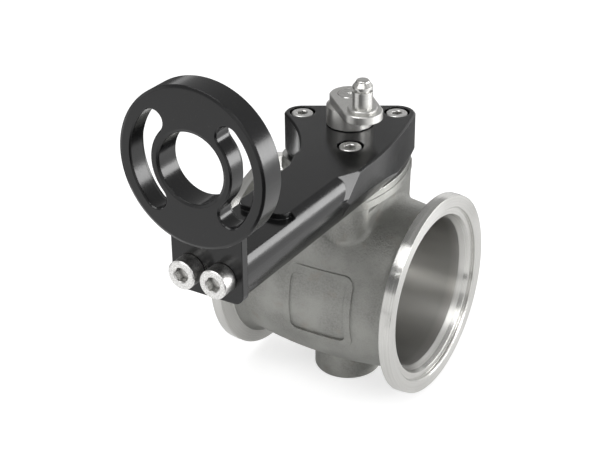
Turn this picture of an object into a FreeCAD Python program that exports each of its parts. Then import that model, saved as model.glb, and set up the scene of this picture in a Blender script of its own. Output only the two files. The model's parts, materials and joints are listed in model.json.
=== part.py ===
import FreeCAD, Part
import math
import os
from FreeCAD import Vector

# Butterfly wastegate, millimetres.
# Built about the point where the duct axis (X) meets the shaft axis (Z), then moved so
# that the origin is the centre of the outlet flange face. +X runs out of the outlet,
# +Z up the shaft, and the actuator arm points to -Y.

# Duct and flanges
face_to_face = 66.0
bore_diameter = 50.0
rim_width = 3.6
rim_bevel_length = 1.8
rim_bevel_depth = 0.2
flank_angle = 20.0
register_ledge = 3.8
register_depth = 1.2
register_bevel = 0.45
mouth_widening = 1.6
mouth_length = 3.2
flange_face_width = 4.4

# Cast barrel, neck, pad and lower boss
barrel_wall = 4.0
barrel_end_wall = 1.4
flange_root_radius = 3.0
neck_left_radius = 6.7
neck_front_radius = 7.0
neck_back_radius = 5.1
neck_left_lean = 2.0
neck_front_lean = 4.0
neck_back_lean = 0.6
neck_foot_depth = 14.0
neck_blend_radius = 1.8
pad_top_height = 38.6
pad_thickness = 4.5
pad_left_radius = 7.0
pad_front_radius = 7.8
pad_back_radius = 5.3
pad_bow_radius = 52.0
pad_step_height = 2.05
pad_step_inset = 0.35
groove_radius = 1.3
groove_depth = 1.0
boss_diameter = 22.4
boss_drop = 7.4
boss_edge_radius = 1.2
boss_blend_radius = 1.5

# Plain raised frame on the front of the barrel
panel_center_x = 4.5
panel_center_z = 1.0
panel_width = 24.0
panel_height = 25.0
panel_corner_radius = 3.5
panel_rim_width = 2.2
panel_relief = 0.5

# Shaft and butterfly
shaft_diameter = 10.0
shaft_end_diameter = 8.0
shaft_proud = 0.1
shaft_center_hole_diameter = 1.8
shaft_center_hole_depth = 1.6
disc_thickness = 3.0
disc_clearance = 0.35
disc_screw_spacing = 19.0
disc_screw_diameter = 4.0
disc_screw_head_diameter = 7.0
disc_screw_head_height = 2.4
disc_screw_hex = 2.5
disc_screw_seat = 3.6
disc_screw_tip_inset = 0.6

# Bushes, seal and washers
bush_wall = 2.0
bush_length = 7.0
seal_wall = 3.0
seal_height = 2.8
seal_retainer_height = 1.8
boss_floor = 2.0
shaft_end_gap = 0.5
bracket_bush_wall = 2.5
bracket_bush_length = 12.7
shoulder_gap = 0.4
thrust_washer_diameter = 13.6
thrust_washer_thickness = 0.8
washer_recess = 0.8
running_gap = 0.3

# Fits between pieces
running_fit = 0.03
shaft_passage = 0.3
thread_gap = 0.03
screw_passage = 0.25
washer_play = 0.25
key_fit = 0.02
screw_edge = 0.3

# Actuator bracket
bracket_thickness = 14.5
bracket_edge_bevel = 0.55
screw_circle_radius = 17.55
screw_angles = {"left": 180.0, "back": 60.0, "front": 300.0}
back_lobe_radius = 6.0
left_lobe_radius = 5.8
arm_width = 22.9
arm_end_y = -90.0
arm_right_start_y = -28.0
arm_left_start_y = -27.0
scallop_radius = 54.0
back_bevel_width = 0.9
back_bevel_height = 2.2
arm_crest_inset = 0.85
arm_crest_rise = 7.9
arm_top_inset = 3.9
arm_left_top_inset = 2.8
arm_bottom_inset = 3.0
run_out_inner_y = -36.5
run_out_length = 8.0
run_out_slope = 0.87
bow_bevel_height = 5.9
raised_face_end_y = -65.5
raised_face_corner = 3.5
relief_depth = 1.85

# Bracket screws, M4 socket head
bracket_screw_diameter = 4.0
bracket_screw_head_diameter = 7.0
bracket_screw_head_height = 4.0
bracket_screw_hex = 3.0
bracket_screw_sink = 0.15
bracket_screw_grip = 8.0
counterbore_diameter = 8.4

# Actuator ring and its tab
ring_rise = 25.8
ring_diameter = 45.2
ring_hole_diameter = 20.0
ring_thickness = 8.0
ring_bevel_width = 0.85
ring_bevel_depth = 0.4
slot_circle_radius = 15.8
slot_width = 6.5
slot_half_angle = 43.0
slot_pocket_width = 9.8
slot_pocket_depth = 2.4
slot_bevel = 0.4
tab_thickness = 2.5
tab_foot = 0.3
tab_corner_radius = 3.0

# Ring screws, M5 socket head
ring_screw_diameter = 5.0
ring_screw_head_diameter = 8.5
ring_screw_head_height = 5.0
ring_screw_hex = 4.0
ring_screw_inset = 6.35
ring_screw_rise = 7.5
ring_screw_grip = 12.0

# Crank lever and pin
hub_diameter = 15.0
hub_height = 6.1
hub_bevel = 1.0
lever_thickness = 2.6
lever_shaft_end_radius = 6.5
lever_pin_end_radius = 6.3
crank_radius = 13.4
crank_angle = -44.0
lever_edge = 0.3
pin_diameter = 6.3
pin_stem_diameter = 5.0
pin_collar_diameter = 9.3
pin_collar_height = 1.0
pin_shank_height = 5.3
pin_groove_diameter = 4.8
pin_groove_width = 0.9
pin_tip_land = 0.7
pin_tip_taper = 1.3
pin_nose_diameter = 4.3
pin_nose_height = 0.7
set_screw_diameter = 4.0
set_screw_hex = 2.0
set_screw_angle = 125.0
set_screw_sink = 0.3
set_screw_gap = 0.1

# Shared places worked out from the sizes above
bore_radius = bore_diameter / 2
register_diameter = bore_diameter + 2 * register_ledge
flange_radius = register_diameter / 2 + flange_face_width
barrel_diameter = bore_diameter + 2 * barrel_wall
barrel_end_diameter = bore_diameter + 2 * barrel_end_wall
boss_bottom_height = -barrel_diameter / 2 - boss_drop
shaft_radius = shaft_diameter / 2
shaft_end_radius = shaft_end_diameter / 2
bush_radius = shaft_radius + running_fit + bush_wall
seal_radius = shaft_radius + running_fit + seal_wall
seal_top = pad_top_height - seal_retainer_height
upper_bush_top = seal_top - seal_height
upper_bush_height = upper_bush_top - bush_length
bracket_bottom = pad_top_height
bracket_top = bracket_bottom + bracket_thickness
bracket_bush_radius = shaft_end_radius + running_fit + bracket_bush_wall
washer_bottom = bracket_top - washer_recess
bracket_bush_bottom = washer_bottom - bracket_bush_length
shaft_shoulder = bracket_bush_bottom - shoulder_gap
washer_top = washer_bottom + thrust_washer_thickness
hub_bottom = washer_top + running_gap
hub_top = hub_bottom + hub_height
lever_bottom = hub_top + hub_bevel
lever_top = lever_bottom + lever_thickness
shaft_end_height = lever_top + shaft_proud
boss_floor_height = boss_bottom_height + boss_floor
shaft_bottom = boss_floor_height + shaft_end_gap
disc_radius = bore_radius - disc_clearance
crank_x = crank_radius * math.cos(math.radians(crank_angle))
crank_y = crank_radius * math.sin(math.radians(crank_angle))
screw_x = screw_circle_radius * math.cos(math.radians(screw_angles["back"]))
arm_left = screw_x - arm_width / 2
arm_right = screw_x + arm_width / 2
ring_front_y = arm_end_y - ring_thickness
ring_center_height = bracket_top + ring_rise
ring_screw_height = bracket_bottom + ring_screw_rise
tab_front_y = arm_end_y - tab_thickness
bracket_screw_seat = bracket_top - bracket_screw_sink - bracket_screw_head_height
bracket_screw_tip = pad_top_height - bracket_screw_grip


def polar(radius, angle):
    """A point on a circle about the shaft axis, the angle in degrees from +X."""
    return radius * math.cos(math.radians(angle)), radius * math.sin(math.radians(angle))


def cylinder(radius, low, high, x=0.0, y=0.0):
    """A cylinder along Z between two heights."""
    return Part.makeCylinder(radius, high - low, Vector(x, y, low))


def tube(outer, inner, low, high, x=0.0, y=0.0):
    """A plain ring along Z."""
    return cylinder(outer, low, high, x, y).cut(cylinder(inner, low, high, x, y))


def hexagon(across_flats, depth):
    """A hexagonal prism along +Z, standing on the XY plane."""
    corner = across_flats / math.sqrt(3)
    points = [Vector(*polar(corner, 60 * i), 0) for i in range(7)]
    return Part.Face(Part.makePolygon(points)).extrude(Vector(0, 0, depth))


def same(a, b):
    """Whether two lengths or places are equal to within a hundredth of a millimetre."""
    return abs(a - b) < 0.01


def turned(profile):
    """A solid of revolution about Z from (radius, height) points."""
    points = [Vector(r, 0, z) for r, z in profile]
    face = Part.Face(Part.makePolygon(points + points[:1]))
    return face.revolve(Vector(0, 0, 0), Vector(0, 0, 1), 360)


def place(shape, x, y, z, direction=Vector(0, 0, 1)):
    """Turn a shape built along +Z to a direction, then move it."""
    turn = FreeCAD.Rotation(Vector(0, 0, 1), direction)
    moved = shape.copy()
    moved.Placement = FreeCAD.Placement(Vector(x, y, z), turn)
    return moved


def outline(circles):
    """The closed outline round circles (x, y, radius), in counter-clockwise order."""
    tangents = []
    for i, (x1, y1, r1) in enumerate(circles):
        x2, y2, r2 = circles[(i + 1) % len(circles)]
        length = math.hypot(x2 - x1, y2 - y1)
        heading = math.atan2(y2 - y1, x2 - x1)
        normal = heading - math.pi / 2 + math.asin((r2 - r1) / length)
        nx, ny = math.cos(normal), math.sin(normal)
        line_start = Vector(x1 + r1 * nx, y1 + r1 * ny, 0)
        line_end = Vector(x2 + r2 * nx, y2 + r2 * ny, 0)
        tangents.append((normal, line_start, line_end))
    edges = []
    for i, (x, y, radius) in enumerate(circles):
        before, _, arc_start = tangents[i - 1]
        after, arc_end, line_end = tangents[i]
        turn = (after - before) % (2 * math.pi)
        middle = before + turn / 2
        arc_middle = Vector(x + radius * math.cos(middle), y + radius * math.sin(middle), 0)
        edges.append(Part.Arc(arc_start, arc_middle, arc_end).toShape())
        edges.append(Part.LineSegment(arc_end, line_end).toShape())
    return Part.Wire(edges)


def raised(wire, low, high):
    """Extrude an outline drawn at z = 0 between two heights."""
    moved = wire.copy()
    moved.translate(Vector(0, 0, low))
    return Part.Face(moved).extrude(Vector(0, 0, high - low))


def screw(diameter, length, head_diameter, head_height, hex_size):
    """A socket head screw: head above z = 0, shank below, both edges of the head broken."""
    radius = diameter / 2
    head = head_diameter / 2
    edge = screw_edge
    solid = turned([
        (0, -length), (radius - edge, -length), (radius, -length + edge), (radius, 0),
        (head - edge / 2, 0), (head, edge / 2), (head, head_height - edge),
        (head - edge, head_height), (0, head_height)])
    socket = hexagon(hex_size, head_height / 2)
    socket.translate(Vector(0, 0, head_height / 2))
    lead = Part.makeCone(hex_size / 2, hex_size / math.sqrt(3) + edge / 3, edge,
                         Vector(0, 0, head_height - edge))
    return solid.cut(socket).cut(lead)


def screw_positions():
    return {name: polar(screw_circle_radius, angle) for name, angle in screw_angles.items()}


def barrel_profile(extra):
    """Half section of the casting and its flanges, as a face in the XZ plane."""
    half = face_to_face / 2
    rim_back = half - rim_width
    end_radius = barrel_end_diameter / 2 + extra
    end_x = rim_back - (flange_radius - end_radius) * math.tan(math.radians(flank_angle))
    right = [
        Vector(end_x, 0, end_radius), Vector(rim_back, 0, flange_radius),
        Vector(half - rim_bevel_length, 0, flange_radius),
        Vector(half, 0, flange_radius - rim_bevel_depth), Vector(half, 0, 0)]
    left = [Vector(-p.x, 0, p.z) for p in reversed(right)]
    crown = Part.Arc(left[-1], Vector(0, 0, barrel_diameter / 2 + extra), right[0]).toShape()
    path = right + left
    edges = [crown] + [Part.LineSegment(a, b).toShape() for a, b in zip(path, path[1:])]
    return Part.Face(Part.Wire(edges)), end_x, end_radius


def barrel():
    face, end_x, end_radius = barrel_profile(0.0)
    solid = face.revolve(Vector(0, 0, 0), Vector(1, 0, 0), 360)
    roots = [e for e in solid.Edges if isinstance(e.Curve, Part.Circle)
             and same(abs(e.Curve.Center.x), end_x) and same(e.Curve.Radius, end_radius)]
    return solid.makeFillet(flange_root_radius, roots)


def neck():
    """The column under the pad; each lobe leans in towards the shaft at its foot."""
    lobes = [("left", neck_left_radius, neck_left_lean), ("front", neck_front_radius, neck_front_lean),
             ("back", neck_back_radius, neck_back_lean)]
    foot = outline([(*polar(screw_circle_radius - lean, screw_angles[name]), radius)
                    for name, radius, lean in lobes])
    head = outline([(*polar(screw_circle_radius, screw_angles[name]), radius) for name, radius, _ in lobes])
    foot.translate(Vector(0, 0, barrel_diameter / 2 - neck_foot_depth))
    head.translate(Vector(0, 0, pad_top_height - pad_thickness))
    return Part.makeLoft([foot, head], True, True)


def pad_block(inset, low, high):
    """A layer of the pad: three lobes round the screws and a bowed side towards the outlet."""
    left, front, back = (Vector(*polar(screw_circle_radius, screw_angles[name]), 0)
                         for name in ("left", "front", "back"))
    corners = outline([
        (left.x, left.y, pad_left_radius - inset), (front.x, front.y, pad_front_radius - inset),
        (back.x, back.y, pad_back_radius - inset)])
    to_front = pad_bow_radius - pad_front_radius
    to_back = pad_bow_radius - pad_back_radius
    span = back.y - front.y
    rise = (to_front ** 2 - to_back ** 2 + span ** 2) / (2 * span)
    center = Vector(front.x - math.sqrt(to_front ** 2 - rise ** 2), front.y + rise, 0)
    bow = cylinder(pad_bow_radius - inset, low, high, center.x, center.y)
    side = raised(Part.makePolygon([
        front, center + (front - center) * 2, center + (back - center) * 2, back, front]), low, high)
    return raised(corners, low, high).fuse(bow.common(side)).removeSplitter()


def pad():
    """The pad under the bracket, its upper part milled back to leave a fine step."""
    step = pad_top_height - pad_step_height
    lower = pad_block(0.0, pad_top_height - pad_thickness, step)
    return lower.fuse(pad_block(pad_step_inset, step, pad_top_height))


def pad_groove():
    """The cast groove under the bowed side of the pad, a straight round bar cut into the neck."""
    beyond = groove_radius - groove_depth
    height = pad_top_height - pad_thickness - groove_radius
    span = 2 * screw_circle_radius * math.sin(math.radians(screw_angles["back"]))
    start = Vector(screw_x + neck_front_radius + beyond, -span / 2, height)
    along = Vector(neck_back_radius - neck_front_radius, span, 0)
    return Part.makeCylinder(groove_radius, span, start, along)


def panel():
    """A plain raised frame that follows the front of the barrel."""
    skin = barrel_profile(panel_relief)[0].revolve(Vector(0, 0, 0), Vector(1, 0, 0), 360)

    def block(inset):
        across = panel_width / 2 - inset
        up = panel_height / 2 - inset
        radius = panel_corner_radius - inset / 2
        corners = [(sx * (across - radius), sz * (up - radius), radius)
                   for sx, sz in ((-1, -1), (1, -1), (1, 1), (-1, 1))]
        prism = raised(outline(corners), 0, barrel_diameter)
        prism.rotate(Vector(0, 0, 0), Vector(1, 0, 0), 90)
        prism.translate(Vector(panel_center_x, 0, panel_center_z))
        return prism

    return skin.common(block(0.0).cut(block(panel_rim_width)))


def valve_body():
    """Cast barrel with V flanges, neck, pad and lower boss, then the machined bores."""
    boss = cylinder(boss_diameter / 2, boss_bottom_height, 0.0)
    foot = [e for e in boss.Edges if isinstance(e.Curve, Part.Circle) and e.Curve.Center.z < -1]
    boss = boss.makeFillet(boss_edge_radius, foot)
    casting = barrel().fuse([neck(), boss])
    casting = casting.makeFillet(neck_blend_radius, barrel_joints(casting, 1))
    casting = casting.makeFillet(boss_blend_radius, barrel_joints(casting, -1))
    casting = casting.cut(pad_groove())
    casting = casting.fuse([pad(), panel()])
    half = face_to_face / 2
    x_axis = Vector(1, 0, 0)
    casting = casting.cut(Part.makeCylinder(bore_radius, face_to_face, Vector(-half, 0, 0), x_axis))
    for side in (1, -1):
        out = Vector(side, 0, 0)
        floor = Vector(side * (half - register_depth), 0, 0)
        casting = casting.cut(Part.makeCylinder(register_diameter / 2, register_depth, floor, out))
        bevel = Part.makeCone(register_diameter / 2, register_diameter / 2 + register_bevel, register_bevel,
                              out * (half - register_bevel), out)
        mouth = Part.makeCone(bore_radius + mouth_widening, bore_radius, mouth_length, floor, out * -1)
        casting = casting.cut(bevel).cut(mouth)
    casting = casting.cut(cylinder(shaft_radius + shaft_passage, 0, pad_top_height))
    casting = casting.cut(cylinder(bush_radius, upper_bush_height, pad_top_height))
    casting = casting.cut(cylinder(seal_radius, upper_bush_top, pad_top_height))
    casting = casting.cut(cylinder(bush_radius, boss_floor_height, 0))
    for x, y in screw_positions().values():
        hole = cylinder(bracket_screw_diameter / 2 + thread_gap, bracket_screw_tip - 1, pad_top_height, x, y)
        casting = casting.cut(hole)
    return casting


def barrel_joints(casting, side):
    """Edges where a casting feature on one side, up (+1) or down (-1), meets the barrel."""
    flange_margin = 4.0
    height_margin = 5.0
    surface_margin = 0.4
    crown = (barrel_diameter - barrel_end_diameter) / 2
    reach = face_to_face / 2 - rim_width
    curve = (reach ** 2 + crown ** 2) / (2 * crown)
    found = []
    for edge in casting.Edges:
        points = edge.discretize(5)
        inside = all(abs(p.x) < reach - flange_margin and p.z * side > height_margin for p in points)
        gaps = [abs(math.hypot(p.y, p.z) - (barrel_diameter / 2 - p.x ** 2 / (2 * curve))) for p in points]
        if inside and max(gaps) < surface_margin:
            found.append(edge)
    return found


def valve_shaft():
    lower = cylinder(shaft_radius, shaft_bottom, shaft_shoulder)
    upper = cylinder(shaft_end_radius, shaft_shoulder, shaft_end_height)
    shaft = lower.fuse(upper).removeSplitter()
    slot = Part.makeBox(disc_thickness, shaft_diameter, 2 * disc_radius,
                        Vector(-disc_thickness / 2, -shaft_radius, -disc_radius))
    shaft = shaft.cut(slot)
    for side in (1, -1):
        z = side * disc_screw_spacing / 2
        seat = Part.makeCylinder(disc_screw_head_diameter / 2 + screw_passage, shaft_radius,
                                 Vector(-disc_screw_seat, 0, z), Vector(-1, 0, 0))
        hole = Part.makeCylinder(disc_screw_diameter / 2 + thread_gap, shaft_diameter,
                                 Vector(-shaft_radius, 0, z), Vector(1, 0, 0))
        shaft = shaft.cut(seat).cut(hole)
    drill = Part.makeCone(shaft_center_hole_diameter / 2, 0, shaft_center_hole_depth,
                          Vector(0, 0, shaft_end_height), Vector(0, 0, -1))
    rim = [e for e in shaft.Edges if isinstance(e.Curve, Part.Circle)
           and same(e.Curve.Center.z, shaft_end_height)]
    return shaft.makeChamfer(lever_edge, rim).cut(drill)


def butterfly_disc():
    disc = Part.makeCylinder(disc_radius, disc_thickness,
                             Vector(-disc_thickness / 2, 0, 0), Vector(1, 0, 0))
    for side in (1, -1):
        z = side * disc_screw_spacing / 2
        disc = disc.cut(Part.makeCylinder(disc_screw_diameter / 2 + thread_gap, disc_thickness,
                                          Vector(-disc_thickness / 2, 0, z), Vector(1, 0, 0)))
    return disc


def disc_screw(side):
    length = disc_screw_seat + shaft_radius - disc_screw_tip_inset
    solid = screw(disc_screw_diameter, length, disc_screw_head_diameter, disc_screw_head_height,
                  disc_screw_hex)
    return place(solid, -disc_screw_seat, 0, side * disc_screw_spacing / 2, Vector(-1, 0, 0))


def arm_circle_center(lobe, lobe_radius, point, radius):
    """Centre of the scallop arc: outside the lobe and through a point on the arm."""
    dx, dy = point[0] - lobe[0], point[1] - lobe[1]
    gap = math.hypot(dx, dy)
    along = ((radius + lobe_radius) ** 2 - radius ** 2 + gap ** 2) / (2 * gap)
    across = math.sqrt((radius + lobe_radius) ** 2 - along ** 2)
    ux, uy = dx / gap, dy / gap
    return lobe[0] + along * ux + across * uy, lobe[1] + along * uy - across * ux


def bracket_outline():
    """Plan of the bracket: two lobes, a scalloped left side, a bowed right side and the arm."""
    left = polar(screw_circle_radius, screw_angles["left"])
    back = polar(screw_circle_radius, screw_angles["back"])
    left_point = (arm_left, arm_left_start_y)
    cx, cy = arm_circle_center(left, left_lobe_radius, left_point, scallop_radius)
    toward = math.atan2(cy - left[1], cx - left[0])
    scallop_start = Vector(left[0] + left_lobe_radius * math.cos(toward),
                           left[1] + left_lobe_radius * math.sin(toward), 0)
    first = math.atan2(scallop_start.y - cy, scallop_start.x - cx)
    last = math.atan2(left_point[1] - cy, left_point[0] - cx)
    middle = (first + last) / 2
    scallop_middle = Vector(cx + scallop_radius * math.cos(middle),
                            cy + scallop_radius * math.sin(middle), 0)
    a = arm_right - back[0]
    b = back[1] - arm_right_start_y
    bow = (a * a + b * b - back_lobe_radius ** 2) / (2 * (a - back_lobe_radius))
    bow_x = arm_right - bow
    bow_angle = math.atan2(b, back[0] - bow_x)
    bow_end = Vector(bow_x + bow * math.cos(bow_angle), arm_right_start_y + bow * math.sin(bow_angle), 0)
    bow_middle = Vector(bow_x + bow * math.cos(bow_angle / 2),
                        arm_right_start_y + bow * math.sin(bow_angle / 2), 0)
    lobe_line = math.atan2(back[1] - left[1], back[0] - left[0]) + math.pi / 2
    lobe_span = math.hypot(back[0] - left[0], back[1] - left[1])
    tilt = math.asin((left_lobe_radius - back_lobe_radius) / lobe_span)
    edge_normal = lobe_line + tilt
    back_top = Vector(back[0] + back_lobe_radius * math.cos(edge_normal),
                      back[1] + back_lobe_radius * math.sin(edge_normal), 0)
    left_top = Vector(left[0] + left_lobe_radius * math.cos(edge_normal),
                      left[1] + left_lobe_radius * math.sin(edge_normal), 0)
    back_angle = (bow_angle + edge_normal) / 2
    back_tip = Vector(back[0] + back_lobe_radius * math.cos(back_angle),
                      back[1] + back_lobe_radius * math.sin(back_angle), 0)
    left_angle = (edge_normal + toward + 2 * math.pi) / 2
    left_tip = Vector(left[0] + left_lobe_radius * math.cos(left_angle),
                      left[1] + left_lobe_radius * math.sin(left_angle), 0)
    arm_left_start = Vector(arm_left, arm_left_start_y, 0)
    corners = [arm_left_start, Vector(arm_left, arm_end_y, 0), Vector(arm_right, arm_end_y, 0),
               Vector(arm_right, arm_right_start_y, 0)]
    edges = [
        Part.Arc(scallop_start, scallop_middle, arm_left_start).toShape(),
        Part.LineSegment(corners[0], corners[1]).toShape(),
        Part.LineSegment(corners[1], corners[2]).toShape(),
        Part.LineSegment(corners[2], corners[3]).toShape(),
        Part.Arc(corners[3], bow_middle, bow_end).toShape(),
        Part.Arc(bow_end, back_tip, back_top).toShape(),
        Part.LineSegment(back_top, left_top).toShape(),
        Part.Arc(left_top, left_tip, scallop_start).toShape()]
    return Part.Wire(edges)


def side_cut(side, upward):
    """What is milled off outside the upper or lower half of the arm's rounded side."""
    margin = 1.0
    outer = arm_right if side > 0 else arm_left
    face = bracket_top if upward > 0 else bracket_bottom
    top_inset = arm_top_inset if side > 0 else arm_left_top_inset
    edge_x = outer - side * (top_inset if upward > 0 else arm_bottom_inset)
    crest_x = outer - side * arm_crest_inset
    crest_z = bracket_bottom + arm_crest_rise
    beyond, over = outer + side * margin, face + upward * margin
    across, rise = abs(crest_x - edge_x), abs(face - crest_z)
    radius = (across ** 2 + rise ** 2) / (2 * across)
    half_turn = math.asin(rise / radius) / 2
    middle = Vector(crest_x - side * radius * (1 - math.cos(half_turn)), arm_end_y - margin,
                    crest_z + upward * radius * math.sin(half_turn))
    corners = [Vector(x, arm_end_y - margin, z) for x, z in (
        (crest_x, crest_z), (beyond, crest_z), (beyond, over), (edge_x, over), (edge_x, face))]
    edges = [Part.LineSegment(a, b).toShape() for a, b in zip(corners, corners[1:])]
    edges.append(Part.Arc(corners[-1], middle, corners[0]).toShape())
    bar = Part.Face(Part.Wire(edges)).extrude(Vector(0, -arm_end_y, 0))
    return bar.common(before_run_out(edge_x, outer, face, upward))


def before_run_out(edge_x, outer, face, upward):
    """All space on the ring's side of the sloping plane in which a side cut ends."""
    sideways = run_out_length / (outer - edge_x)
    corners = []
    for x, z in ((arm_left, bracket_bottom), (arm_right, bracket_bottom), (arm_right, bracket_top),
                 (arm_left, bracket_top)):
        far_x = screw_x + 2 * (x - screw_x)
        far_z = face + 2 * (z - face) if z != face else face + upward * bracket_thickness
        y = run_out_inner_y + sideways * (far_x - edge_x) - upward * (face - far_z) / run_out_slope
        corners.append(Vector(far_x, y, far_z))
    return Part.Face(Part.makePolygon(corners + corners[:1])).extrude(Vector(0, 2 * arm_end_y, 0))


def bow_bevel():
    """The bevel under the bowed side, in line with the lower edge of the arm."""
    margin = 1.0
    inner = arm_right - arm_bottom_inset
    slope = arm_bottom_inset / bow_bevel_height
    corners = [(inner - margin * slope, bracket_bottom - margin),
               (arm_right + margin * slope, bracket_bottom + bow_bevel_height + margin),
               (arm_right + margin * slope, bracket_bottom - margin)]
    points = [Vector(x, run_out_inner_y, z) for x, z in corners]
    return Part.Face(Part.makePolygon(points + points[:1])).extrude(Vector(0, -arm_end_y, 0))


def relief():
    """The lowered top of the arm's end; the raised face ends in two rounded corners."""
    low = bracket_top - relief_depth
    end_box = Part.makeBox(arm_width, raised_face_end_y + raised_face_corner - arm_end_y, relief_depth,
                           Vector(arm_left, arm_end_y, low))
    top_left, top_right = arm_left + arm_left_top_inset, arm_right - arm_top_inset
    face = Part.makeBox(top_right - top_left, 2 * raised_face_corner, relief_depth,
                        Vector(top_left, raised_face_end_y, low))
    corners = [e for e in face.Edges if same(e.BoundBox.ZLength, relief_depth)
               and same(e.BoundBox.YMax, raised_face_end_y)]
    return end_box.cut(face.makeFillet(raised_face_corner, corners))


def actuator_bracket():
    plate = raised(bracket_outline(), bracket_bottom, bracket_top)
    top_edges = [e for e in plate.Edges if same(e.BoundBox.ZMin, bracket_top)
                 and e.CenterOfMass.y > arm_left_start_y]
    plate = plate.makeChamfer(bracket_edge_bevel, top_edges)
    back_edges = [e for e in plate.Edges if same(e.BoundBox.ZMax, bracket_bottom)
                  and e.CenterOfMass.y > 0 and e.CenterOfMass.x > -screw_circle_radius / 2]
    plate = plate.makeChamfer(back_bevel_width, back_bevel_height, back_edges)
    for side in (1, -1):
        for upward in (1, -1):
            plate = plate.cut(side_cut(side, upward))
    plate = plate.cut(bow_bevel())
    plate = plate.cut(relief())
    plate = plate.cut(cylinder(bracket_bush_radius, bracket_bottom, bracket_top))
    recess = cylinder(thrust_washer_diameter / 2 + washer_play, washer_bottom, bracket_top)
    plate = plate.cut(recess)
    for x, y in screw_positions().values():
        sink = cylinder(counterbore_diameter / 2, bracket_screw_seat, bracket_top, x, y)
        hole = cylinder(bracket_screw_diameter / 2 + screw_passage, bracket_bottom, bracket_top, x, y)
        plate = plate.cut(sink).cut(hole)
    for x in ring_screw_places():
        hole = Part.makeCylinder(ring_screw_diameter / 2 + thread_gap, ring_screw_grip + 1,
                                 Vector(x, arm_end_y, ring_screw_height), Vector(0, 1, 0))
        plate = plate.cut(hole)
    return plate


def bracket_screw(name):
    x, y = screw_positions()[name]
    solid = screw(bracket_screw_diameter, bracket_screw_seat - bracket_screw_tip,
                  bracket_screw_head_diameter, bracket_screw_head_height, bracket_screw_hex)
    return place(solid, x, y, bracket_screw_seat)


def ring_screw_places():
    return arm_left + ring_screw_inset, arm_right - ring_screw_inset


def kidney(middle_angle, width, low, high):
    """A curved slot about the ring centre, cut between two heights of the ring."""

    def point(radius, angle):
        return Vector(*polar(radius, angle), low)

    inner = slot_circle_radius - width / 2
    outer = slot_circle_radius + width / 2
    first, last = middle_angle - slot_half_angle, middle_angle + slot_half_angle
    end_tip = point(slot_circle_radius, last) + Vector(*polar(width / 2, last + 90), 0)
    start_tip = point(slot_circle_radius, first) + Vector(*polar(width / 2, first - 90), 0)
    edges = [
        Part.Arc(point(outer, first), point(outer, middle_angle), point(outer, last)).toShape(),
        Part.Arc(point(outer, last), end_tip, point(inner, last)).toShape(),
        Part.Arc(point(inner, last), point(inner, middle_angle), point(inner, first)).toShape(),
        Part.Arc(point(inner, first), start_tip, point(outer, first)).toShape()]
    return Part.Face(Part.Wire(edges)).extrude(Vector(0, 0, high - low))


def actuator_ring():
    """The actuator's mounting ring, with a thin tab that bolts to the end of the arm."""
    inner, outer = ring_hole_diameter / 2, ring_diameter / 2
    wide, deep = ring_bevel_width, ring_bevel_depth
    section = [Vector(r, 0, z) for r, z in (
        (inner, deep), (inner + wide, 0), (outer - wide, 0), (outer, deep),
        (outer, ring_thickness - deep), (outer - wide, ring_thickness),
        (inner + wide, ring_thickness), (inner, ring_thickness - deep))]
    half_section = Part.Face(Part.makePolygon(section + section[:1]))
    disc = half_section.revolve(Vector(0, 0, 0), Vector(0, 0, 1), 360)
    for angle in (0.0, 180.0):
        disc = disc.cut(kidney(angle, slot_width, 0.0, ring_thickness))
        rims = [e for e in disc.Edges if same(e.BoundBox.ZMin, ring_thickness) and on_slot(e, angle)]
        disc = disc.makeChamfer(slot_bevel, rims)
        disc = disc.cut(kidney(angle, slot_pocket_width, 0.0, slot_pocket_depth))
    ring = place(disc, screw_x, arm_end_y, ring_center_height, Vector(0, -1, 0))
    low = bracket_bottom + tab_foot
    tab = Part.makeBox(arm_width, tab_thickness, ring_center_height - low,
                       Vector(arm_left, tab_front_y, low))
    corners = [e for e in tab.Edges if same(e.BoundBox.YLength, tab_thickness)
               and same(e.BoundBox.ZMax, low)]
    tab = tab.makeFillet(tab_corner_radius, corners)
    inside = Part.makeCylinder(slot_circle_radius + slot_width, ring_thickness,
                               Vector(screw_x, ring_front_y, ring_center_height), Vector(0, 1, 0))
    ring = ring.fuse(tab.cut(inside)).removeSplitter()
    for x in ring_screw_places():
        hole = Part.makeCylinder(ring_screw_diameter / 2 + screw_passage, ring_thickness,
                                 Vector(x, ring_front_y, ring_screw_height), Vector(0, 1, 0))
        ring = ring.cut(hole)
    return ring


def on_slot(edge, angle):
    """Whether an edge belongs to the slot on one side of the ring, and not to a rim."""
    middle = edge.CenterOfMass
    radius = math.hypot(middle.x, middle.y)
    inner_edge = ring_hole_diameter / 2 + ring_bevel_width
    outer_edge = ring_diameter / 2 - ring_bevel_width
    return middle.x * math.cos(math.radians(angle)) > 0 and inner_edge < radius < outer_edge


def ring_screw(x):
    solid = screw(ring_screw_diameter, ring_screw_grip + tab_thickness, ring_screw_head_diameter,
                  ring_screw_head_height, ring_screw_hex)
    return place(solid, x, tab_front_y, ring_screw_height, Vector(0, -1, 0))


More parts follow.
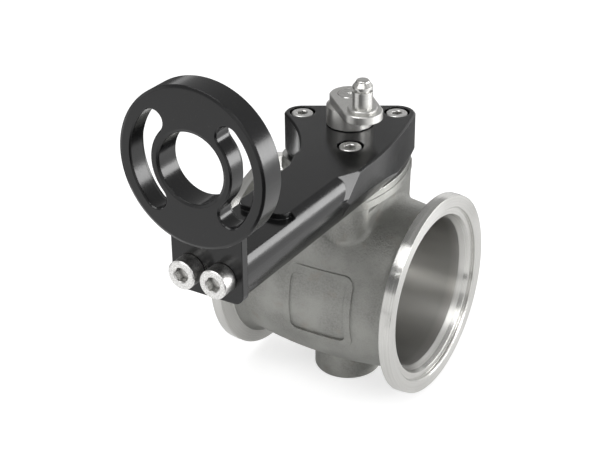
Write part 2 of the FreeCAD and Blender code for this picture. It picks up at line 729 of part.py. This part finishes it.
def crank_lever():
    hub = turned([
        (0, hub_bottom), (hub_diameter / 2, hub_bottom), (hub_diameter / 2, hub_top),
        (lever_shaft_end_radius, lever_bottom), (lever_shaft_end_radius, lever_top), (0, lever_top)])
    ends = [(0, 0, lever_shaft_end_radius), (crank_x, crank_y, lever_pin_end_radius)]
    plate = raised(outline(ends), lever_bottom, lever_top)
    top_edges = [e for e in plate.Edges if same(e.BoundBox.ZMin, lever_top)]
    plate = plate.makeChamfer(lever_edge, top_edges)
    lever = hub.common(cylinder(hub_diameter, hub_bottom, lever_bottom)).fuse(plate)
    lever = lever.cut(cylinder(shaft_end_radius + key_fit, hub_bottom, lever_top))
    lever = lever.cut(cylinder(pin_stem_diameter / 2, lever_bottom, lever_top, crank_x, crank_y))
    height = (hub_bottom + hub_top) / 2
    out = Vector(*polar(1, set_screw_angle), 0)
    hole = Part.makeCylinder(set_screw_diameter / 2 + thread_gap, hub_diameter / 2, Vector(0, 0, height), out)
    return lever.cut(hole)


def set_screw():
    """The grub screw that locks the lever to the shaft."""
    height = (hub_bottom + hub_top) / 2
    outer_end = hub_diameter / 2 - set_screw_sink
    length = outer_end - shaft_end_radius - set_screw_gap
    body = cylinder(set_screw_diameter / 2, 0, length).cut(hexagon(set_screw_hex, length / 2))
    out = Vector(*polar(1, set_screw_angle), 0)
    start = out * outer_end
    return place(body, start.x, start.y, height, out * -1)


def crank_pin():
    """The grooved pin that carries the actuator rod end."""
    collar_top = lever_top + pin_collar_height
    shank_top = collar_top + pin_shank_height
    groove_top = shank_top + pin_groove_width
    land_top = groove_top + pin_tip_land
    taper_top = land_top + pin_tip_taper
    nose_top = taper_top + pin_nose_height
    stem, collar = pin_stem_diameter / 2, pin_collar_diameter / 2
    shank, groove, nose = pin_diameter / 2, pin_groove_diameter / 2, pin_nose_diameter / 2
    side = [(0, lever_bottom), (stem, lever_bottom), (stem, lever_top), (collar, lever_top),
            (collar, collar_top - lever_edge), (collar - lever_edge, collar_top), (shank, collar_top),
            (shank, shank_top), (groove, shank_top), (groove, groove_top), (shank, groove_top),
            (shank, land_top), (nose, taper_top)]
    points = [Vector(r, 0, z) for r, z in side]
    flat = nose - pin_nose_height
    lean = pin_nose_height * math.sqrt(0.5)
    crown_middle = Vector(flat + lean, 0, taper_top + lean)
    crown = Part.Arc(points[-1], crown_middle, Vector(flat, 0, nose_top))
    top = [Vector(flat, 0, nose_top), Vector(0, 0, nose_top), points[0]]
    edges = [Part.LineSegment(a, b).toShape() for a, b in zip(points, points[1:])]
    edges += [crown.toShape()] + [Part.LineSegment(a, b).toShape() for a, b in zip(top, top[1:])]
    pin = Part.Face(Part.Wire(edges)).revolve(Vector(0, 0, 0), Vector(0, 0, 1), 360)
    pin.translate(Vector(crank_x, crank_y, 0))
    return pin


def pieces():
    """Every separate piece by its node name."""
    left_x, right_x = ring_screw_places()
    shaft_bore = shaft_radius + running_fit
    end_bore = shaft_end_radius + running_fit
    return {
        "valve_body": valve_body(),
        "butterfly_disc": butterfly_disc(),
        "valve_shaft": valve_shaft(),
        "disc_screw_upper": disc_screw(1),
        "disc_screw_lower": disc_screw(-1),
        "lower_bush": tube(bush_radius, shaft_bore, boss_floor_height, boss_floor_height + bush_length),
        "upper_bush": tube(bush_radius, shaft_bore, upper_bush_height, upper_bush_top),
        "shaft_seal": tube(seal_radius, shaft_bore, upper_bush_top, seal_top),
        "seal_retainer": tube(seal_radius, shaft_radius + shaft_passage, seal_top, pad_top_height),
        "bracket_bush": tube(bracket_bush_radius, end_bore, bracket_bush_bottom, washer_bottom),
        "thrust_washer": tube(thrust_washer_diameter / 2, end_bore, washer_bottom, washer_top),
        "actuator_bracket": actuator_bracket(),
        "bracket_screw_left": bracket_screw("left"),
        "bracket_screw_back": bracket_screw("back"),
        "bracket_screw_front": bracket_screw("front"),
        "actuator_ring": actuator_ring(),
        "ring_screw_left": ring_screw(left_x),
        "ring_screw_right": ring_screw(right_x),
        "crank_lever": crank_lever(),
        "lever_set_screw": set_screw(),
        "crank_pin": crank_pin(),
    }


os.makedirs("parts", exist_ok=True)
for name, shape in pieces().items():
    shape.translate(Vector(-face_to_face / 2, 0, 0))
    solid = shape.removeSplitter()
    print(name, solid.isValid(), len(solid.Solids), round(solid.Volume, 2))
    solid.exportStep("parts/" + name + ".step")
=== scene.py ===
import json
import math
import bpy
from mathutils import Matrix, Vector


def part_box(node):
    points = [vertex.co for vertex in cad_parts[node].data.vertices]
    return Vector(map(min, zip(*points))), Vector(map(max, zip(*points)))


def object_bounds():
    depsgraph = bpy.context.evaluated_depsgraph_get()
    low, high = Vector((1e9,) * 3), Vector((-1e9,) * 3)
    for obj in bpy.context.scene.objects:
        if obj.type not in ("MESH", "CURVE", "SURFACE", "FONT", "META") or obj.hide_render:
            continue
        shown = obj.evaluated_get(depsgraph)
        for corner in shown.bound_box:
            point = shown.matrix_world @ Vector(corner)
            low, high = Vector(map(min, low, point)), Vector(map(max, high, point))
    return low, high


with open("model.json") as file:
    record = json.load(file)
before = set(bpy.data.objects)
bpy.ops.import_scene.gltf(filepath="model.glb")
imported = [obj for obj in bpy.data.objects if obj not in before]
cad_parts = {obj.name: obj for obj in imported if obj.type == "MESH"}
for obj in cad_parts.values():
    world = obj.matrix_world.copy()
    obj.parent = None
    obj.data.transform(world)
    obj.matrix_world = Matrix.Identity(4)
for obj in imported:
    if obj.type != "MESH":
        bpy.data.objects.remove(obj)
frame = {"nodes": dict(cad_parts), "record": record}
cad_low, cad_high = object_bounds()
nodes = frame["nodes"]
mounts = {mount["name"]: mount for mount in frame["record"]["mounts"]}
MM = 0.001

# Camera, matched to the photograph
camera_place = Vector((0.1744, -0.3675, 0.2363))
camera_azimuth = math.radians(31.62)
camera_elevation = math.radians(27.5)
camera_roll = math.radians(-0.52)
camera_lens = 86.96
camera_sensor = 36.0
camera_clip_start = 0.01

# Sizes read from the frame, in millimetres
outlet_x = mounts["outlet_register"]["pos_m"][0] / MM
inlet_x = mounts["inlet_register"]["pos_m"][0] / MM
half_length = (outlet_x - inlet_x) / 2
valve_middle = ((outlet_x + inlet_x) / 2, 0.0, 0.0)
register_radius = mounts["outlet_register"]["dims"]["r_mm"]
pad_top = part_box("valve_body")[1].z / MM
crank_pin_place = Vector(mounts["crank_pin"]["pos_m"]) / MM

# Where the valve body is machined, in millimetres
register_ledge = 3.8
bore_radius = register_radius - register_ledge
bore_margin = 0.8
flange_reach = 26.9
flange_inner_radius = 28.6
end_face_depth = 4.5
pad_face_depth = 0.35
# Depths from the ends of the bore where painted shade begins and where it is full
bore_shade_start = 4.0
bore_shade_full = 8.0
mask_edge = 0.1

# Turned tool marks: their spacing in millimetres, and how often they change in a radian
tool_mark_pitch = 0.35
tool_mark_change = 0.6

# Milled grain: how often it changes in a millimetre along X, Y and Z
bracket_grain = (0.5, 6.0, 0.5)
ring_grain = (0.5, 0.5, 6.0)
lever_grain = (5.0, 1.4, 5.0)

# Depths of the fine relief, in millimetres
cast_lump_depth = 0.12
cast_grit_depth = 0.20
body_mark_depth = 0.001
turned_mark_depth = 0.002
lever_grain_depth = 0.001
screw_grain_depth = 0.012
black_line_depth = 0.0012
pore_depth = 0.02

# Colours
white = (1.0, 1.0, 1.0, 1.0)
cast_colour = (0.36, 0.36, 0.34)
cast_dark = (0.25, 0.25, 0.235)
cast_bright = (0.44, 0.44, 0.42)
warm_stain = (0.30, 0.22, 0.16)
machined_colour = (0.66, 0.655, 0.635)
machined_dark = (0.52, 0.515, 0.495)
# Painted shade for the deep part of the bore
bore_shade_colour = (0.40, 0.395, 0.38)
screw_shine = (0.88, 0.875, 0.86)
screw_dull = (0.55, 0.545, 0.53)
# Painted shade in sockets and corners, darkest where they are most closed in, and how far it looks, in
# metres
socket_painted_shade = (0.16, 0.16, 0.15)
socket_shade_reach = 0.0018
black_colour = (0.006, 0.006, 0.0063)
black_worn = (0.030, 0.030, 0.031)
bronze_colour = (0.55, 0.36, 0.16)
bronze_dark = (0.30, 0.18, 0.07)
graphite_colour = (0.07, 0.07, 0.075)
graphite_dark = (0.03, 0.03, 0.032)

# Roughness from the smoothest to the roughest place
cast_rough = (0.42, 0.58)
face_rough = (0.22, 0.27)
bore_rough = (0.33, 0.39)
shaft_rough = (0.14, 0.24)
pin_rough = (0.30, 0.35)
lever_rough = (0.33, 0.37)
screw_rough = (0.28, 0.40)
black_rough = (0.15, 0.21)
bronze_rough = (0.35, 0.50)
graphite_rough = (0.50, 0.65)

# Highlights are stretched across the tool marks, a quarter turn from their direction
quarter_turn = 0.25

# Where most values of a noise lie
noise_low = 0.3
noise_high = 0.7


class Graph:
    """Builds one material's nodes. Places inside are millimetres in the model's frame."""

    def __init__(self, name):
        self.material = bpy.data.materials.new(name)
        self.material.use_nodes = True
        self.tree = self.material.node_tree
        self.tree.nodes.clear()
        coordinates = self.add("ShaderNodeTexCoord").outputs["Object"]
        self.place = self.scaled(coordinates, 1 / MM)

    def add(self, kind, settings=None, **inputs):
        """A node with its settings; an input is named, or i0, i1 and so on by its number."""
        node = self.tree.nodes.new(kind)
        for key, value in (settings or {}).items():
            setattr(node, key, value)
        for key, value in inputs.items():
            by_number = key[0] == "i" and key[1:].isdigit()
            socket = node.inputs[int(key[1:]) if by_number else key.replace("_", " ")]
            self.feed(socket, value)
        return node

    def feed(self, socket, value):
        """Links a socket or sets a plain value."""
        if isinstance(value, bpy.types.NodeSocket):
            self.tree.links.new(value, socket)
        else:
            socket.default_value = value

    def math(self, operation, a, b=0.0):
        return self.add("ShaderNodeMath", {"operation": operation}, i0=a, i1=b).outputs[0]

    def product(self, a, b):
        return self.math("MULTIPLY", a, b)

    def scaled(self, vector, factor):
        return self.add("ShaderNodeVectorMath", {"operation": "SCALE"}, i0=vector, Scale=factor).outputs[0]

    def moved(self, vector, offset):
        return self.add("ShaderNodeVectorMath", {"operation": "SUBTRACT"}, i0=vector, i1=offset).outputs[0]

    def stretched(self, vector, factors):
        return self.add("ShaderNodeVectorMath", {"operation": "MULTIPLY"}, i0=vector, i1=factors).outputs[0]

    def split(self, vector):
        return self.add("ShaderNodeSeparateXYZ", i0=vector).outputs

    def joined(self, x, y, z):
        return self.add("ShaderNodeCombineXYZ", i0=x, i1=y, i2=z).outputs[0]

    def noise(self, vector, scale, detail=3.0, roughness=0.5):
        return self.add("ShaderNodeTexNoise", Vector=vector, Scale=scale, Detail=detail,
                        Roughness=roughness).outputs["Fac"]

    def ramp(self, value, low, high, to_low=0.0, to_high=1.0):
        """Maps low..high to to_low..to_high, held at both ends."""
        return self.add("ShaderNodeMapRange", {"clamp": True}, i0=value, i1=low, i2=high,
                        i3=to_low, i4=to_high).outputs[0]

    def spread(self, noise, to_low=0.0, to_high=1.0):
        """Spreads the usual range of a noise over to_low..to_high."""
        return self.ramp(noise, noise_low, noise_high, to_low, to_high)

    def past(self, value, limit, edge=mask_edge):
        """A mask: 0 below the limit and 1 above it."""
        return self.ramp(value, limit, limit + edge)

    def either(self, a, b):
        """A mask of the places in one mask or the other."""
        return self.math("MAXIMUM", a, b)

    def outside(self, mask):
        return self.math("SUBTRACT", 1.0, mask)

    def blend(self, factor, a, b):
        """Mixes two numbers."""
        return self.add("ShaderNodeMix", {"data_type": "FLOAT"}, i0=factor, i2=a, i3=b).outputs[0]

    def tint(self, factor, a, b):
        """Mixes two colours, each a socket or (r, g, b)."""
        first, second = (colour if isinstance(colour, bpy.types.NodeSocket) else (*colour, 1.0)
                         for colour in (a, b))
        node = self.add("ShaderNodeMix", {"data_type": "RGBA"}, i0=factor, i6=first, i7=second)
        return node.outputs[2]

    def around(self, axis, center):
        """(distance along an axis, radius about it, angle) of each point."""
        x, y, z = self.split(self.moved(self.place, center))
        along, u, v = {"X": (x, y, z), "Z": (z, x, y)}[axis]
        radius = self.math("SQRT", self.math("ADD", self.product(u, u), self.product(v, v)))
        return along, radius, self.math("ARCTAN2", v, u)

    def turned_grain(self, axis, center):
        """Fine tool marks that run round an axis, on faces and on cylinders alike."""
        along, radius, angle = self.around(axis, center)
        vector = self.joined(self.math("DIVIDE", along, tool_mark_pitch),
                             self.math("DIVIDE", radius, tool_mark_pitch),
                             self.product(angle, tool_mark_change))
        return self.noise(vector, scale=1.0, detail=2.0, roughness=0.6)

    def round_tangent(self, axis):
        """Direction of the tool marks round an axis, for the stretched highlights of turned metal."""
        return self.add("ShaderNodeTangent", {"direction_type": "RADIAL", "axis": axis}).outputs[0]

    def bumped(self, layers, edge):
        """Surface normal from a rounded edge and (height, depth) layers; edge and depths in mm."""
        normal = self.add("ShaderNodeBevel", {"samples": 6}, Radius=edge * MM).outputs[0]
        for height, depth in layers:
            normal = self.add("ShaderNodeBump", Height=height, Distance=depth * MM, Strength=1.0,
                              Normal=normal).outputs[0]
        return normal

    def painted_recess_shade(self, colour, shade_colour, reach):
        """Paints shade into a colour: darker in corners and sockets that nearby surfaces close in; reach in
        metres.
        """
        open_sky = self.add("ShaderNodeAmbientOcclusion", {"samples": 16}, Distance=reach).outputs["AO"]
        return self.tint(self.ramp(open_sky, 0.3, 0.75), shade_colour, colour)

    def finish(self, colour, roughness, normal, metallic=1.0, tangent=None, **sockets):
        """Joins the shader and returns the material."""
        shader = self.add("ShaderNodeBsdfPrincipled", Metallic=metallic, **sockets)
        self.feed(shader.inputs["Base Color"], colour)
        self.feed(shader.inputs["Roughness"], roughness)
        self.feed(shader.inputs["Normal"], normal)
        if tangent:
            self.feed(shader.inputs["Tangent"], tangent)
        output = self.add("ShaderNodeOutputMaterial")
        self.tree.links.new(shader.outputs[0], output.inputs[0])
        return self.material


def cast_and_machined(name):
    """The valve body: bead-blasted casting with turned flanges and bore, a milled pad face, and painted
    shade deeper in the bore.
    """
    g = Graph(name)
    along, radius, _ = g.around("X", valve_middle)
    reach = g.math("ABSOLUTE", along)
    height = g.split(g.place)[2]
    flange = g.product(g.past(reach, flange_reach), g.past(radius, flange_inner_radius, 2 * mask_edge))
    bore = g.outside(g.past(radius, bore_radius + bore_margin))
    end_face = g.past(reach, half_length - end_face_depth)
    pad_face = g.past(height, pad_top - pad_face_depth)
    machined = g.either(g.either(flange, bore), g.either(end_face, pad_face))

    grit = g.noise(g.place, scale=1.5, detail=4.0, roughness=0.7)
    lumps = g.noise(g.place, scale=0.45)
    patches = g.noise(g.place, scale=0.09, roughness=0.55)
    stains = g.noise(g.place, scale=0.16, detail=2.0)
    marks = g.turned_grain("X", valve_middle)

    cast = g.tint(g.ramp(patches, 0.35, 0.65), cast_dark, cast_colour)
    cast = g.tint(g.ramp(grit, 0.35, 0.65, to_high=0.6), cast, cast_bright)
    cast = g.tint(g.ramp(stains, 0.62, 0.8, to_high=0.25), cast, warm_stain)
    bright = g.tint(g.ramp(marks, 0.2, 0.8), machined_dark, machined_colour)
    # Painted shade: the bore turns darker deeper inside, where less light reaches
    deep_bore_shade = g.ramp(reach, half_length - bore_shade_start, half_length - bore_shade_full)
    bright = g.tint(g.product(bore, deep_bore_shade), bright, bore_shade_colour)
    colour = g.tint(machined, cast, bright)

    turned_rough = g.blend(bore, g.spread(marks, *face_rough), g.spread(marks, *bore_rough))
    rough = g.blend(machined, g.spread(grit, *cast_rough), turned_rough)
    casting = g.outside(machined)
    layers = [(g.product(lumps, casting), cast_lump_depth), (g.product(grit, casting), cast_grit_depth),
              (g.product(marks, machined), body_mark_depth)]
    return g.finish(colour, rough, g.bumped(layers, edge=0.3), tangent=g.round_tangent("X"),
                    Anisotropic=0.9, Anisotropic_Rotation=quarter_turn)


def turned_steel(name, axis, center, rough):
    """Bright steel turned about an axis."""
    g = Graph(name)
    marks = g.turned_grain(axis, center)
    smears = g.noise(g.place, scale=0.35, roughness=0.6)
    colour = g.tint(g.spread(marks), machined_dark, machined_colour)
    colour = g.tint(g.ramp(smears, 0.5, 0.8, to_high=0.3), colour, machined_dark)
    normal = g.bumped([(marks, turned_mark_depth)], edge=0.15)
    return g.finish(colour, g.spread(smears, *rough), normal, tangent=g.round_tangent(axis),
                    Anisotropic=0.5, Anisotropic_Rotation=quarter_turn)


def milled_steel(name):
    """Satin steel with a fine even grain, as the crank lever."""
    g = Graph(name)
    grain = g.noise(g.stretched(g.place, lever_grain), scale=1.0, roughness=0.6)
    smears = g.noise(g.place, scale=0.3, roughness=0.6)
    colour = g.tint(g.spread(grain), machined_dark, machined_colour)
    normal = g.bumped([(grain, lever_grain_depth)], edge=0.2)
    return g.finish(colour, g.spread(smears, *lever_rough), normal, tangent=g.round_tangent("Z"),
                    Anisotropic=0.6, Anisotropic_Rotation=quarter_turn)


def screw_steel(name):
    """Stainless socket screw: satin head with a dull grain, and painted shade in the socket."""
    g = Graph(name)
    grain = g.noise(g.place, scale=2.4, roughness=0.65)
    smears = g.noise(g.place, scale=0.8, detail=2.0)
    colour = g.tint(g.ramp(grain, 0.38, 0.62), screw_dull, screw_shine)
    # Painted shade: the socket and corners are darkened by how closed in they are
    colour = g.painted_recess_shade(colour, socket_painted_shade, socket_shade_reach)
    normal = g.bumped([(grain, screw_grain_depth)], edge=0.2)
    return g.finish(colour, g.spread(smears, *screw_rough), normal)


def black_anodised(name, line_factors):
    """Black anodised aluminium: dark, glossy, with faint milling lines and worn specks."""
    g = Graph(name)
    lines = g.noise(g.stretched(g.place, line_factors), scale=1.0, detail=2.0)
    clouds = g.noise(g.place, scale=0.12)
    specks = g.noise(g.place, scale=2.6, detail=1.0, roughness=0.4)
    colour = g.tint(g.ramp(specks, 0.72, 0.78), black_colour, black_worn)
    normal = g.bumped([(lines, black_line_depth)], edge=0.4)
    return g.finish(colour, g.spread(clouds, *black_rough), normal, metallic=0.0, IOR=1.45)


def porous(name, colour, dark, rough):
    """Sintered bronze or pressed graphite."""
    g = Graph(name)
    pores = g.noise(g.place, scale=4.0, roughness=0.6)
    mixed = g.tint(g.ramp(pores, 0.35, 0.6), dark, colour)
    return g.finish(mixed, g.spread(pores, *rough), g.bumped([(pores, pore_depth)], edge=0.15))


def dress(name, material):
    """Gives a node of the model its material."""
    slots = nodes[name].data.materials
    slots.clear()
    slots.append(material)


dress("valve_body", cast_and_machined("cast_stainless_body"))
dress("actuator_bracket", black_anodised("black_bracket", bracket_grain))
dress("actuator_ring", black_anodised("black_ring", ring_grain))
dress("crank_lever", milled_steel("lever_steel"))
dress("crank_pin", turned_steel("pin_steel", "Z", crank_pin_place, pin_rough))
dress("butterfly_disc", turned_steel("disc_steel", "X", valve_middle, shaft_rough))
for name, material_name in (("valve_shaft", "shaft_steel"), ("thrust_washer", "washer_steel"),
                            ("seal_retainer", "retainer_steel")):
    dress(name, turned_steel(material_name, "Z", valve_middle, shaft_rough))
for screw in ("lever_set_screw", "bracket_screw_left", "bracket_screw_back", "bracket_screw_front",
              "ring_screw_left", "ring_screw_right", "disc_screw_upper", "disc_screw_lower"):
    dress(screw, screw_steel(screw + "_steel"))
bronze = porous("sintered_bronze", bronze_colour, bronze_dark, bronze_rough)
for bush in ("lower_bush", "upper_bush", "bracket_bush"):
    dress(bush, bronze)
dress("shaft_seal", porous("pressed_graphite", graphite_colour, graphite_dark, graphite_rough))


def rays(tree, *kinds):
    """1 for rays of the named kinds, 0 for the rest."""
    path = tree.nodes.new("ShaderNodeLightPath")
    total = path.outputs[kinds[0]]
    for kind in kinds[1:]:
        either = tree.nodes.new("ShaderNodeMath")
        either.operation = "MAXIMUM"
        tree.links.new(total, either.inputs[0])
        tree.links.new(path.outputs[kind], either.inputs[1])
        total = either.outputs[0]
    return total


def choose(tree, seen, if_seen, if_not):
    """One number for the rays of a mask and another for the rest."""
    switch = tree.nodes.new("ShaderNodeMapRange")
    switch.inputs["To Min"].default_value = if_not
    switch.inputs["To Max"].default_value = if_seen
    tree.links.new(seen, switch.inputs["Value"])
    return switch.outputs[0]


def white_glow(tree):
    """A white emission shader."""
    glow = tree.nodes.new("ShaderNodeEmission")
    glow.inputs["Color"].default_value = white
    return glow


def level(low, high, height):
    """Corners of a level card between two (x, y) corners."""
    return [(low[0], low[1], height), (high[0], low[1], height),
            (high[0], high[1], height), (low[0], high[1], height)]


def upright(x, low, high):
    """Corners of a card across X between two (y, z) corners."""
    return [(x, low[0], low[1]), (x, high[0], low[1]), (x, high[0], high[1]), (x, low[0], high[1])]


def card(name, corners):
    """A flat piece of the studio from its corners in metres, and the empty nodes of its paint."""
    mesh = bpy.data.meshes.new(name)
    mesh.from_pydata(corners, [], [(0, 1, 2, 3)])
    piece = bpy.data.objects.new(name, mesh)
    bpy.context.scene.collection.objects.link(piece)
    paint = bpy.data.materials.new(name + "_paint")
    paint.use_nodes = True
    paint.node_tree.nodes.clear()
    mesh.materials.append(paint)
    return piece, paint.node_tree


# World: white to the camera and to reflections, softer as a light
world_light = 0.55
world = bpy.data.worlds.new("studio")
world.use_nodes = True
bpy.context.scene.world = world
tree = world.node_tree
background = tree.nodes["Background"]
background.inputs["Color"].default_value = white
seen = rays(tree, "Is Camera Ray", "Is Glossy Ray", "Is Transmission Ray")
tree.links.new(choose(tree, seen, 1.0, world_light), background.inputs["Strength"])

# Floor: plain and pale, white to the camera where no shadow of the part falls on it
floor_z = cad_low.z
floor_reach = 3.0
floor_seen = 0.55
floor_reflected = 0.85
glow_seen = 0.64
glow_reflected = 0.12
floor_corners = level((-floor_reach, -floor_reach), (floor_reach, floor_reach), floor_z)
_, tree = card("floor", floor_corners)
seen = rays(tree, "Is Camera Ray")
diffuse = tree.nodes.new("ShaderNodeBsdfDiffuse")
tree.links.new(choose(tree, seen, floor_seen, floor_reflected), diffuse.inputs["Color"])
glow = white_glow(tree)
tree.links.new(choose(tree, seen, glow_seen, glow_reflected), glow.inputs["Strength"])
both = tree.nodes.new("ShaderNodeAddShader")
output = tree.nodes.new("ShaderNodeOutputMaterial")
tree.links.new(diffuse.outputs[0], both.inputs[0])
tree.links.new(glow.outputs[0], both.inputs[1])
tree.links.new(both.outputs[0], output.inputs[0])


def softbox(name, azimuth, height, distance, size, radiance):
    """A soft lamp that faces the part; azimuth in degrees from +Y towards +X, lengths in metres."""
    angle = math.radians(azimuth)
    place = Vector((aim.x + distance * math.sin(angle), aim.y + distance * math.cos(angle), height))
    width, tall = size
    lamp = bpy.data.lights.new(name, "AREA")
    lamp.shape = "RECTANGLE"
    lamp.size = width
    lamp.size_y = tall
    lamp.energy = radiance * math.pi * width * tall
    holder = bpy.data.objects.new(name, lamp)
    holder.location = place
    holder.rotation_mode = "QUATERNION"
    holder.rotation_quaternion = (aim - place).to_track_quat("-Z", "Y")
    bpy.context.scene.collection.objects.link(holder)


# Lamps, round a point between the duct and the ring
aim = Vector((valve_middle[0] * MM, -0.035, 0.045))
softbox("right_softbox", azimuth=62.0, height=0.13, distance=0.90, size=(0.95, 0.30), radiance=7.5)
softbox("facet_softbox", azimuth=86.0, height=0.36, distance=0.90, size=(0.24, 0.24), radiance=9.0)
softbox("front_right_softbox", azimuth=140.0, height=0.72, distance=0.60, size=(0.40, 0.40), radiance=2.5)
softbox("top_front_softbox", azimuth=200.0, height=0.70, distance=0.45, size=(0.45, 0.45), radiance=4.0)
softbox("left_softbox", azimuth=-85.0, height=0.15, distance=0.90, size=(0.60, 0.30), radiance=1.5)


def flag(name, corners, strength):
    """A grey card that only reflections see."""
    piece, tree = card(name, corners)
    glow = white_glow(tree)
    glow.inputs["Strength"].default_value = strength
    output = tree.nodes.new("ShaderNodeOutputMaterial")
    tree.links.new(glow.outputs[0], output.inputs[0])
    piece.visible_camera = False
    piece.visible_diffuse = False
    piece.visible_shadow = False


# A grey ceiling over the set, and darker cards on the floor and at the left of the part
ceiling_reach = 2.6
ceiling_height = 0.95
card_height = floor_z + 0.002
left_card_x = -0.20
left_card_top = 0.12
ceiling_corners = level((-ceiling_reach, -ceiling_reach), (ceiling_reach, ceiling_reach), ceiling_height)
flag("ceiling_flag", ceiling_corners, strength=0.42)
flag("back_flag", level((-0.10, 0.13), (0.04, 0.40), card_height), strength=0.25)
flag("front_flag", level((0.0, -0.60), (0.40, -0.16), card_height), strength=0.03)
flag("left_flag", upright(left_card_x, (-0.10, card_height), (0.12, left_card_top)), strength=0.10)

# Camera
back = Vector((math.sin(camera_azimuth) * math.cos(camera_elevation),
               -math.cos(camera_azimuth) * math.cos(camera_elevation), math.sin(camera_elevation)))
right = Vector((math.cos(camera_azimuth), math.sin(camera_azimuth), 0.0))
up = back.cross(right)
rolled_right = right * math.cos(camera_roll) + up * math.sin(camera_roll)
rolled_up = up * math.cos(camera_roll) - right * math.sin(camera_roll)
turn = Matrix((rolled_right, rolled_up, back)).transposed().to_4x4()
camera_data = bpy.data.cameras.new("camera")
camera_data.lens = camera_lens
camera_data.sensor_width = camera_sensor
camera_data.clip_start = camera_clip_start
camera = bpy.data.objects.new("camera", camera_data)
camera.matrix_world = Matrix.Translation(camera_place) @ turn
bpy.context.scene.collection.objects.link(camera)
bpy.context.scene.camera = camera
bpy.context.scene.view_settings.view_transform = "Standard"
